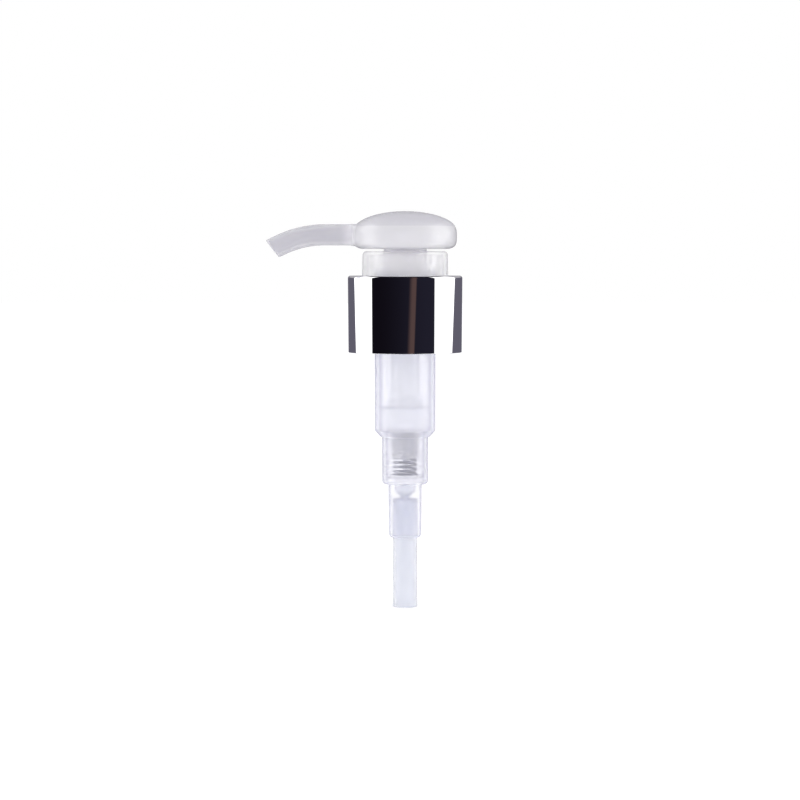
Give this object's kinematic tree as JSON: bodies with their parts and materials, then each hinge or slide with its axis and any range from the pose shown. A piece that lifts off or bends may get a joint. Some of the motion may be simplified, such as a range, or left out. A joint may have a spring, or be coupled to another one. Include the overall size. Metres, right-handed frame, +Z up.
{
  "type": "bottle dispensing pump",
  "caption": "Screw-on bottle pump for condiments: domed press head with a bent side nozzle, chaplet, metal collar, stepped translucent housing with spring and ball valve, and dip tube.",
  "frame": {"origin": "centre of the gasket's underside, on the pump's axis, where it rests on the bottle's rim", "axes": "+Z up along the pump's axis, -X towards the nozzle's tip"},
  "size_m": [0.056, 0.0326, 0.113],
  "materials": {
    "head_pp": "natural translucent polypropylene, glossy",
    "chaplet_pp": "natural translucent polypropylene, glossy",
    "housing_pp": "natural translucent polypropylene, thin wall",
    "tube_pe": "natural translucent polyethylene, extruded",
    "white_pp": "white polypropylene, moulded",
    "closure_pp": "white polypropylene, moulded",
    "piston_pe": "natural soft polyethylene",
    "gasket_foam": "white foamed polyethylene",
    "shell_metal": "mirror bright anodised",
    "spring_steel": "drawn stainless wire",
    "ball_glass": "clear glass ball"
  },
  "bodies": {
    "housing": {"housing": "housing_pp", "chaplet": "chaplet_pp", "gasket": "gasket_foam", "ball_retainer": "white_pp", "dip_tube": "tube_pe", "spring": "spring_steel"},
    "plunger": {"valve_plug": "white_pp"},
    "head": {"actuator_head": "head_pp", "stem": "white_pp"},
    "piston": {"piston": "piston_pe"},
    "inlet_ball": {"inlet_ball": "ball_glass"},
    "closure": {"closure_cap": "closure_pp", "metal_shell": "shell_metal"}
  },
  "joints": [
    {"name": "pump_stroke", "type": "slide", "parent": "housing", "child": "plunger", "axis": [0, 0, 1], "range_m": [0, 0.016], "stiffness_N_per_m": 1270, "springref_m": 0.0223, "deforming": ["spring"]},
    {"name": "head_swivel", "type": "hinge", "parent": "plunger", "child": "head", "pos_m": [0, 0, 0.01], "axis": [0, 0, 1], "continuous": true},
    {"name": "piston_slip", "type": "slide", "parent": "plunger", "child": "piston", "axis": [0, 0, 1], "range_m": [0, 0.0012]},
    {"name": "ball_lift", "type": "slide", "parent": "housing", "child": "inlet_ball", "axis": [0, 0, 1], "range_m": [0, 0.001]},
    {"name": "closure_spin", "type": "hinge", "parent": "housing", "child": "closure", "pos_m": [0, 0, 0], "axis": [0, 0, 1], "continuous": true}
  ]
}
